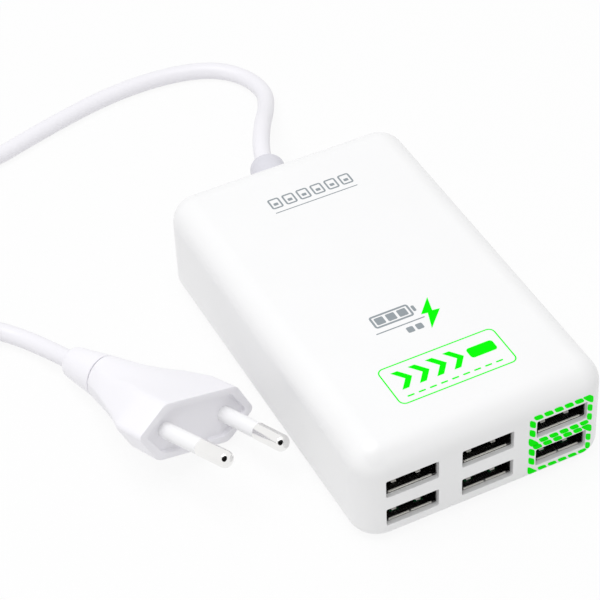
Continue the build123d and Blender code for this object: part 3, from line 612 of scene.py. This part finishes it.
boot_ring(2.0 * mm, 5.5 * mm)
boot_ring(0, 3.5 * mm)
boot_ring(2.0 * mm, 3.5 * mm)
boot_ring(0, 4.45 * mm)
boot_ring(0.25 * mm, 4.7 * mm)
bends = 10
for bend in range(bends):
    boot_ring(10.05 * mm / bends, (4.7 - 0.33 * (bend + 1) / bends) * mm, radians(16) / bends)
dome = 2.0 * mm
for bow in range(1, 9):
    arc, before = pi / 2 * bow / 8, pi / 2 * (bow - 1) / 8
    boot_ring(dome * (sin(arc) - sin(before)), 4.37 * mm - dome * (1 - cos(arc)))
boot_ring(0, 2.26 * mm)
boot_ring(-1.6 * mm, 2.26 * mm)
close(boot, 40)
dress(boot, "relief_grey", "strain_relief")
print("boot ends at", [round(v * 1000, 2) for v in centre])

# %% [markdown]
# ## Plug
# The flat two-pin plug is one soft moulding: a six-sided face, a waist to grip and a round
# neck for the lead, with a thin groove between. It is modelled upright on its own axis,
# with the pins along +Z, and laid on the table at the end by one matrix.

# %% Where the plug lies
plug_yaw, plug_pitch, plug_roll = radians(-68.9), radians(9.0), radians(-23.8)
pin_way = Vector((cos(plug_yaw) * cos(plug_pitch), sin(plug_yaw) * cos(plug_pitch), sin(plug_pitch)))
plug_level = Vector((-sin(plug_yaw), cos(plug_yaw), 0))
plug_across = plug_level * cos(plug_roll) + pin_way.cross(plug_level) * sin(plug_roll)
plug_place = Matrix((plug_across, pin_way.cross(plug_across), pin_way)).transposed().to_4x4()
plug_place.translation = (-50.35 * mm, -9.35 * mm, 11.836 * mm)


def lay_down(piece):
    """Puts a piece that was modelled on the plug's own axes where the plug lies."""
    piece.matrix_world = plug_place
    only(piece)
    bpy.ops.object.transform_apply(location=True, rotation=True, scale=True)


print("plug's face at", [round(v * 1000, 1) for v in plug_place.translation])

# %% Body of the plug
half_width, half_height, half_flat = 17.65 * mm, 6.85 * mm, 10.9 * mm
bpy.ops.mesh.primitive_circle_add(vertices=6, radius=half_width, rotation=(0, 0, pi / 2))
plug = begin("plug_moulding")
flatten = half_height / (half_width * sin(pi / 3))
bpy.ops.transform.resize(value=(1, flatten, 1), center_override=(0, 0, 0))
for side in (-1, 1):
    pick("VERT", lambda spot, way: spot.x * side > 2 * mm and abs(spot.y) > 2 * mm)
    bpy.ops.transform.translate(value=(side * (half_flat - half_width / 2), 0, 0))
bpy.ops.mesh.select_mode(type="VERT")
bpy.ops.mesh.select_all(action="SELECT")
bpy.ops.mesh.bevel(offset=1.3 * mm, segments=5, affect="VERTICES")
for longest, cuts in ((15 * mm, 11), (5 * mm, 4)):
    mesh_now = bmesh.from_edit_mesh(plug.data)
    for edge in mesh_now.edges:
        edge.select_set(edge.calc_length() > longest)
    bmesh.update_edit_mesh(plug.data)
    bpy.ops.mesh.subdivide(number_cuts=cuts)
bpy.ops.mesh.select_all(action="SELECT")
bpy.ops.mesh.edge_face_add()

bpy.ops.transform.resize(value=(34.8 / 35.3, 13.2 / 13.7, 1), center_override=(0, 0, 0))
depth = 0.0


def plug_ring(to_depth, width, height, round_off=0.0):
    """The next section behind the face: part of the way to a circle, then to its size."""
    global depth
    extrude((0, 0, depth - to_depth))
    if round_off:
        bpy.ops.transform.tosphere(value=round_off)
    chosen = [v.co for v in bmesh.from_edit_mesh(plug.data).verts if v.select]
    wide = max(v.x for v in chosen) - min(v.x for v in chosen)
    high = max(v.y for v in chosen) - min(v.y for v in chosen)
    bpy.ops.transform.resize(value=(width / wide, height / high, 1), center_override=(0, 0, -to_depth))
    depth = to_depth


plug_ring(0.08 * mm, 35.12 * mm, 13.52 * mm)
plug_ring(0.3 * mm, 35.28 * mm, 13.68 * mm)
for share in range(1, 5):
    plug_ring(8.0 * mm * share / 4, (35.3 - 0.15 * share) * mm, (13.7 - 0.05 * share) * mm)
waist_steps = 15
for share in range(1, waist_steps + 1):
    at = 8.0 + 22.5 * share / waist_steps
    width = 34.7 - 1.1417 * (at - 8) + 0.00926 * (at - 8) * (at - 20)
    height = 13.5 - 0.0917 * (at - 8) - 0.00271 * (at - 8) * (at - 20)
    plug_ring(at * mm, width * mm, height * mm, 0.09 if at > 14 else 0.02)
plug_ring(30.6 * mm, 10.8 * mm, 10.7 * mm, 1.0)
groove, neck = [(30.6, 8.2), (31.1, 8.2)], [(31.1, 10.3), (31.2, 10.5), (36.0, 9.1), (40.8, 7.66)]
for at, across in groove + neck:
    plug_ring(at * mm, across * mm, across * mm)
for bow in range(1, 7):
    arc = pi / 2 * bow / 6
    across = 7.6 - 2.4 * (1 - cos(arc))
    plug_ring((40.8 + 1.2 * sin(arc)) * mm, across * mm, across * mm)
plug_ring(42.0 * mm, 4.5 * mm, 4.5 * mm)
plug_ring(40.5 * mm, 4.5 * mm, 4.5 * mm)
print("plug body:", len(plug.data.polygons), "faces")

# %% Face of the plug
def face_ring(width, height, sink):
    """A smaller copy of the picked face inside it, sunk a little."""
    chosen = [v.co for v in bmesh.from_edit_mesh(plug.data).verts if v.select]
    wide = max(v.x for v in chosen) - min(v.x for v in chosen)
    high = max(v.y for v in chosen) - min(v.y for v in chosen)
    extrude((0, 0, -sink), (width / wide, height / high, 1), (0, 0, 0))


pick("FACE", lambda spot, way: abs(spot.z) < tiny and abs(way.z) > 0.9)
face_ring(31.0 * mm, 10.7 * mm, 0)
face_ring(30.7 * mm, 10.45 * mm, 0.06 * mm)
face_ring(30.54 * mm, 10.3 * mm, 0.2 * mm)
face_ring(30.4 * mm, 10.2 * mm, 0.7 * mm)
face_ring(30.2 * mm, 10.0 * mm, 0.18 * mm)
face_ring(29.7 * mm, 9.6 * mm, 0.06 * mm)
close(plug, 35)
lay_down(plug)
dress(plug, "plug_white", "plug_body")

# %% [markdown]
# ## Pins
# Each pin is a nickel-plated rod with a domed tip, and the half next to the plug wears a
# white sleeve. The two lean towards each other a little, as such pins do. One of each is
# extruded from a disc and copied to the other side.

# %% Pins and sleeves
pin_lean = 0.5 / 19


def rod(name, rings):
    """A round bar from (height, radius) rings along +Z."""
    (first_height, first_radius), rest = rings[0], rings[1:]
    bpy.ops.mesh.primitive_circle_add(vertices=40, radius=first_radius * mm, fill_type="NGON",
                                      location=(0, 0, first_height * mm))
    piece = begin(name)
    bpy.ops.mesh.select_all(action="SELECT")
    for height, radius in rest:
        factor = radius / first_radius
        extrude((0, 0, (height - first_height) * mm), (factor, factor, 1), (0, 0, height * mm))
        first_height, first_radius = height, radius
    return close(piece, 40)


tip = [(17.3 + 1.7 * sin(pi / 2 * bow / 8), 0.3 + 1.7 * cos(pi / 2 * bow / 8)) for bow in range(9)]
pin_rings = [(-7.8, 1.5), (9.9, 1.5), (9.9, 1.85), (10.05, 2.0)] + tip
sleeve_rings = [(-3.1, 1.88), (9.55, 1.88), (9.75, 1.84), (9.9, 1.72), (9.9, 1.54), (-3.1, 1.54)]
for side, word in ((-1, "left"), (1, "right")):
    for kind, rings, slot in (("pin", pin_rings, "pin_nickel"),
                              ("sleeve", sleeve_rings, "sleeve_white")):
        piece = rod(f"{kind}_{word}", rings)
        piece.rotation_euler.y = -side * pin_lean
        piece.location.x = side * 9.3 * mm
        only(piece)
        bpy.ops.object.transform_apply(location=True, rotation=True, scale=True)
        lay_down(piece)
        dress(piece, slot, f"plug_pin_{word}" if kind == "pin" else f"pin_sleeve_{word}")

# %% [markdown]
# ## Band round the coil
# The wound lead is held by a woven band. A tube of square section with soft corners is the
# bundle's own outline, so a box loses its two ends, has its edges bevelled and gets the
# band's thickness from Solidify.

# %% Coil band
band_middle, band_span, band_low, band_high = 23.3 * mm, 24.4 * mm, 0.32 * mm, 9.85 * mm
bpy.ops.mesh.primitive_cube_add(size=1, location=(band_middle, 0, (band_low + band_high) / 2),
                                scale=(band_span, 9.0 * mm, band_high - band_low))
band = begin("coil_band")
pick("FACE", lambda spot, way: abs(way.y) > 0.9)
bpy.ops.mesh.delete(type="FACE")
pick("EDGE", lambda spot, way: abs(way.y) > 0.9)
bpy.ops.mesh.bevel(offset=1.6 * mm, segments=5, affect="EDGES")
close(band, 60)
apply(band, "SOLIDIFY", thickness=0.6 * mm, offset=0)
apply(band, "BEVEL", width=0.15 * mm, segments=2)
band.rotation_euler.z = radians(170)
band.location = (coil_middle[0] * mm, coil_middle[1] * mm, 0)
only(band)
bpy.ops.object.transform_apply(location=True, rotation=True, scale=True)
dress(band, "tie_band", "coil_tie")

# %% [markdown]
# ## Printed marks
# The top carries plain printed symbols and the two quick sockets have a dashed frame. Ink is
# a film a few hundredths of a millimetre thick, so each mark is a flat outline that is
# filled, given that thickness and laid on the surface.

# %% Inks
moulding("housing_white_grey_ink", (0.27, 0.305, 0.33), 0.4, 0.2 * mm, 0.002 * mm, 0.05)
moulding("housing_white_green_ink", (0.0, 0.97, 0.0), 0.55, 0.2 * mm, 0.002 * mm, 0.03,
         {"Specular IOR Level": 0.05})
ink = 0.03 * mm
print("ink film:", round(ink * 1e6), "micrometres")


def rounded(low, high, radius, smooth=6):
    """The outline of a rectangle with round corners, between two opposite corners."""
    corners = [(high[0], high[1], 0), (low[0], high[1], 1), (low[0], low[1], 2), (high[0], low[1], 3)]
    outline = []
    for x, y, quarter in corners:
        x += radius if x == low[0] else -radius
        y += radius if y == low[1] else -radius
        for step in range(smooth + 1):
            angle = pi / 2 * (quarter + step / smooth)
            outline.append((x + radius * cos(angle), y + radius * sin(angle)))
    return outline


def frame_outline(low, high, radius, line):
    """A rounded rectangle's line: its outer and its inner outline."""
    inner_low, inner_high = (low[0] + line, low[1] + line), (high[0] - line, high[1] - line)
    return [rounded(low, high, radius), rounded(inner_low, inner_high, max(radius - line, 0.05))]


def print_on_top(name, colour, outlines):
    film = bpy.data.curves.new(name, "CURVE")
    film.dimensions = "2D"
    film.fill_mode = "BOTH"
    film.extrude = ink / 2
    for outline in outlines:
        line = film.splines.new("POLY")
        line.points.add(len(outline) - 1)
        for spot, (x, y) in zip(line.points, outline):
            spot.co = (x * mm, y * mm, 0, 1)
        line.use_cyclic_u = True
    piece = bpy.data.objects.new(name, film)
    bpy.context.scene.collection.objects.link(piece)
    only(piece)
    bpy.ops.object.convert(target="MESH")
    piece = bpy.context.object
    piece.location.z = housing_top + ink / 2 + 0.002 * mm
    bpy.ops.object.transform_apply(location=True, rotation=True, scale=True)
    piece.data.materials.clear()
    piece.data.materials.append(finishes["housing_white_" + colour].material)
    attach(piece, "root")
    print(name, "printed,", len(piece.data.polygons), "faces")


# %% Marks on the top
ports = []
for column in range(6):
    x = -10.3 + 3.72 * column
    ports += frame_outline((x, 32.5), (x + 2.95, 36.2), 0.6, 0.42)
    ports.append(rounded((x + 0.9, 33.6), (x + 2.05, 34.5), 0.2))
ports.append(rounded((-10.3, 30.9), (11.3, 31.15), 0.1))
print_on_top("print_six_ports", "grey_ink", ports)

battery = frame_outline((-8.4, -15.4), (1.4, -11.3), 0.7, 0.5)
battery.append(rounded((1.75, -14.3), (2.5, -12.4), 0.3))
for cell in range(3):
    battery.append(rounded((-7.5 + 2.85 * cell, -14.5), (-5.3 + 2.85 * cell, -12.2), 0.3))
battery.append(rounded((-9.2, -17.1), (3.0, -16.8), 0.1))
for dot in range(2):
    battery.append(rounded((-2.6 + 2.3 * dot, -20.0), (-0.9 + 2.3 * dot, -18.2), 0.35))
print_on_top("print_battery", "grey_ink", battery)

bolt = [(6.6, -11.6), (2.65, -15.9), (4.2, -16.2), (2.6, -21.0), (7.3, -16.2), (5.5, -15.9)]
print_on_top("print_bolt", "green_ink", [bolt])

badge = frame_outline((-14.9, -39.1), (14.3, -27.1), 1.6, 0.3)
for arrow in range(4):
    x = -12.4 + 4.3 * arrow
    badge.append([(x, -29.3), (x + 1.7, -29.3), (x + 3.9, -32.1),
                  (x + 1.7, -34.9), (x, -34.9), (x + 2.2, -32.1)])
badge.append(rounded((5.6, -33.7), (12.2, -30.5), 0.8))
for stroke in range(9):
    badge.append(rounded((-12.4 + 2.75 * stroke, -37.4), (-10.7 + 2.75 * stroke, -37.0), 0.15))
print_on_top("print_badge", "green_ink", badge)

# %% [markdown]
# ## Dashed frames on the front
# The frames are slanting dashes with a larger one at two of the corners, and they run round the
# corner of the housing, so they can't stay flat. Each is a plane whose four corners are pulled
# out of square. Subdivision rounds them off, Shrinkwrap lays them on the wall and Solidify
# gives them the ink's thickness.

# %% One slanting dash
frame_y = front_y - 1 * mm


def dash(corners):
    """A flat mark in front of the wall: lower left, lower right, upper right, upper left."""
    bpy.ops.mesh.primitive_plane_add(size=2 * mm, location=(0, frame_y, 0), rotation=(pi / 2, 0, 0))
    mark = begin("dash")
    signs = ((-1, -1), (1, -1), (1, 1), (-1, 1))
    ends = [Vector((x * mm, frame_y, z * mm)) for x, z in signs]
    for end, (x, z) in zip(ends, corners):
        pick("VERT", lambda spot, way: (spot - end).length < tiny)
        bpy.ops.transform.translate(value=Vector((x * mm, frame_y, z * mm)) - end)
    bpy.ops.mesh.select_all(action="SELECT")
    bpy.ops.mesh.subdivide(number_cuts=1)
    bpy.ops.object.mode_set(mode="OBJECT")
    return mark


# %% Both frames
def level_dash(x, z):
    return dash([(x - 0.65, z - 0.74), (x + 1.45, z - 0.74),
                 (x + 0.65, z + 0.74), (x - 1.45, z + 0.74)])


def upright_dash(x, z):
    return dash([(x - 0.8, z - 0.4), (x + 0.8, z - 1.65),
                 (x + 0.8, z + 0.4), (x - 0.8, z + 1.65)])


def shifted(corners, x, z):
    return dash([(x + across, z + up) for across, up in corners])


upper_right = [(0.8, -2.95), (0.8, -0.8), (-0.55, 0.7), (-2.75, 0.75)]
lower_left = [(-0.93, 2.35), (-0.93, 0.15), (-0.1, -1.0), (2.15, -0.9)]
for word, middle, top, bottom, right in (("lower", 7.3, 3.5, 3.95, (-3.0, -0.25)),
                                         ("upper", 16.02, 3.85, 3.65, (-2.6, 0.2))):
    x = 18.6
    dashes = [shifted(upper_right, x + 7.4, middle + top),
              shifted(lower_left, x - 7.55, middle - bottom)]
    for step in range(5):
        dashes += [level_dash(x - 6.12 + 2.57 * step, middle + top),
                   level_dash(x - 4.6 + 2.6 * step, middle - bottom)]
    dashes += [upright_dash(x - 7.55, middle + up) for up in (2.35, -0.45)]
    dashes += [upright_dash(x + 7.25, middle + up) for up in right]
    bpy.ops.object.select_all(action="DESELECT")
    for piece in dashes:
        piece.select_set(True)
    bpy.context.view_layer.objects.active = dashes[0]
    bpy.ops.object.join()
    marks = bpy.context.object
    marks.name = marks.data.name = f"print_frame_{word}"
    apply(marks, "SUBSURF", levels=2, render_levels=2)
    apply(marks, "SHRINKWRAP", target=housing, wrap_method="PROJECT", use_project_y=True,
          use_positive_direction=True, use_negative_direction=True, offset=ink)
    apply(marks, "SOLIDIFY", thickness=0.8 * ink, offset=-1)
    marks.data.materials.clear()
    marks.data.materials.append(finishes["housing_white_green_ink"].material)
    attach(marks, "root")
    print(marks.name, len(marks.data.polygons), "faces")

# %% [markdown]
# ## Parts that keep their engineering shape
# The sockets, the board with its components, the cover, feet and screws are already right
# in the frame, so they only change their finish.

# %% Finishes of the frame's own nodes
slots = {
    "cover_white": ["base_cover"],
    "screw_steel": ["cover_screws"],
    "foot_rubber": ["foot_front_left", "foot_front_right", "foot_back_left", "foot_back_right"],
    "socket_steel": ["usb_shell_left", "usb_shell_centre", "usb_shell_right"],
    "socket_black": ["usb_insulator_left", "usb_insulator_centre", "usb_insulator_right"],
    "contact_gold": ["usb_contacts_left", "usb_contacts_centre", "usb_contacts_right"],
    "board_green": ["main_board"],
    "sheet_film": ["insulation_sheet"],
    "fuse_ceramic": ["fuse"],
    "box_yellow": ["x_capacitor"],
    "ferrite": ["mains_choke_core", "transformer_core"],
    "copper_wire": ["mains_choke_winding"],
    "package_black": ["bridge_rectifier", "switching_transistor", "optocoupler", "controller_chip",
                      "output_rectifier", "output_choke", "port_control_chip"],
    "can_sleeve": ["bulk_capacitor", "output_capacitor_left", "output_capacitor_right"],
    "sink_aluminium": ["primary_heat_sink", "secondary_heat_sink"],
    "bobbin_black": ["transformer_bobbin"],
    "winding_tape": ["transformer_winding"],
    "disc_blue": ["y_capacitor"],
    "wire_brown": ["live_wire"],
    "wire_blue": ["neutral_wire"],
}
for slot, nodes in slots.items():
    for node in nodes:
        piece = frame["nodes"][node]
        piece.data.materials.clear()
        piece.data.materials.append(finishes[slot].material)
lead.data.materials.append(finishes["cord_white"].material)
print("nodes dressed:", sum(len(nodes) for nodes in slots.values()))

# %% [markdown]
# ## Table and light
# The picture has a plain white ground. A white card would turn grey where the light falls
# off, so rays from the camera see part of the floor as white by itself, while the rest of it
# still takes the object's shadow. The light is a bright, even sky with one large soft lamp.

# %% White ground
def camera_like(finish):
    """1 for rays that come straight from the camera, a mirror or glass."""
    path = finish.tree.nodes.new("ShaderNodeLightPath")
    seen = Signal(finish, path.outputs["Is Camera Ray"])
    for name in ("Is Glossy Ray", "Is Transmission Ray"):
        other = Signal(finish, path.outputs[name])
        seen = finish.node("ShaderNodeMath", {"operation": "MAXIMUM"}, {0: seen, 1: other})
    return seen


bpy.ops.mesh.primitive_plane_add(size=6)
floor = bpy.context.object
floor.name = "floor"
ground = Finish("white_ground", {"Base Color": (0.86, 0.86, 0.86, 1), "Roughness": 0.9,
                                 "Specular IOR Level": 0.0})
glow = ground.node("ShaderNodeEmission", {}, {"Color": (1, 1, 1, 1), "Strength": 1.0})
own = Signal(ground, ground.shader.outputs[0])
white = ground.node("ShaderNodeMixShader", {}, {0: camera_like(ground) * 0.9, 1: own, 2: glow})
ground.tree.links.new(white.socket, ground.tree.nodes["Material Output"].inputs["Surface"])
floor.data.materials.append(ground.material)
print("floor: white to the eye, and it keeps the shadow")

# %% Sky and lamp
world = bpy.data.worlds.new("studio")
bpy.context.scene.world = world
world.use_nodes = True
sky = Finish.__new__(Finish)
sky.tree = world.node_tree
background = world.node_tree.nodes["Background"]
background.inputs["Color"].default_value = (1, 1, 1, 1)
sky_light = 0.66
sky.feed(background.inputs["Strength"], camera_like(sky) * (1 - sky_light) + sky_light)


def soft_lamp(name, place, size, power):
    bpy.ops.object.light_add(type="AREA", location=place)
    lamp = bpy.context.object
    lamp.name = name
    lamp.data.size, lamp.data.energy = size, power
    lamp.rotation_euler = (Vector((0, 0, 0.01)) - Vector(place)).to_track_quat("-Z", "Y").to_euler()


soft_lamp("key_lamp", (-0.24, 0.0, 0.9), 0.6, 4.0)
print("sky at", sky_light, "with one soft lamp")

# %% [markdown]
# ## Something dark to mirror
# Bright metal shows what stands round it, and in an all-white room the pins would look like
# paper. A grey colour would only make them dull. A black disc round the lens, which mirror
# rays alone can see, gives them the small dark spots by which metal is known.

# %% Dark card round the lens
card_radius = 0.4
bpy.ops.mesh.primitive_circle_add(vertices=48, radius=card_radius, fill_type="NGON")
card = bpy.context.object
card.name = "dark_card"
card.matrix_world = aim
card.visible_camera = card.visible_diffuse = card.visible_shadow = False
matt_black = Finish("card_black", {"Base Color": (0.01, 0.01, 0.01, 1), "Roughness": 1.0,
                                   "Specular IOR Level": 0.0})
card.data.materials.append(matt_black.material)
bpy.context.scene.view_settings.view_transform = "Standard"
print("light set")
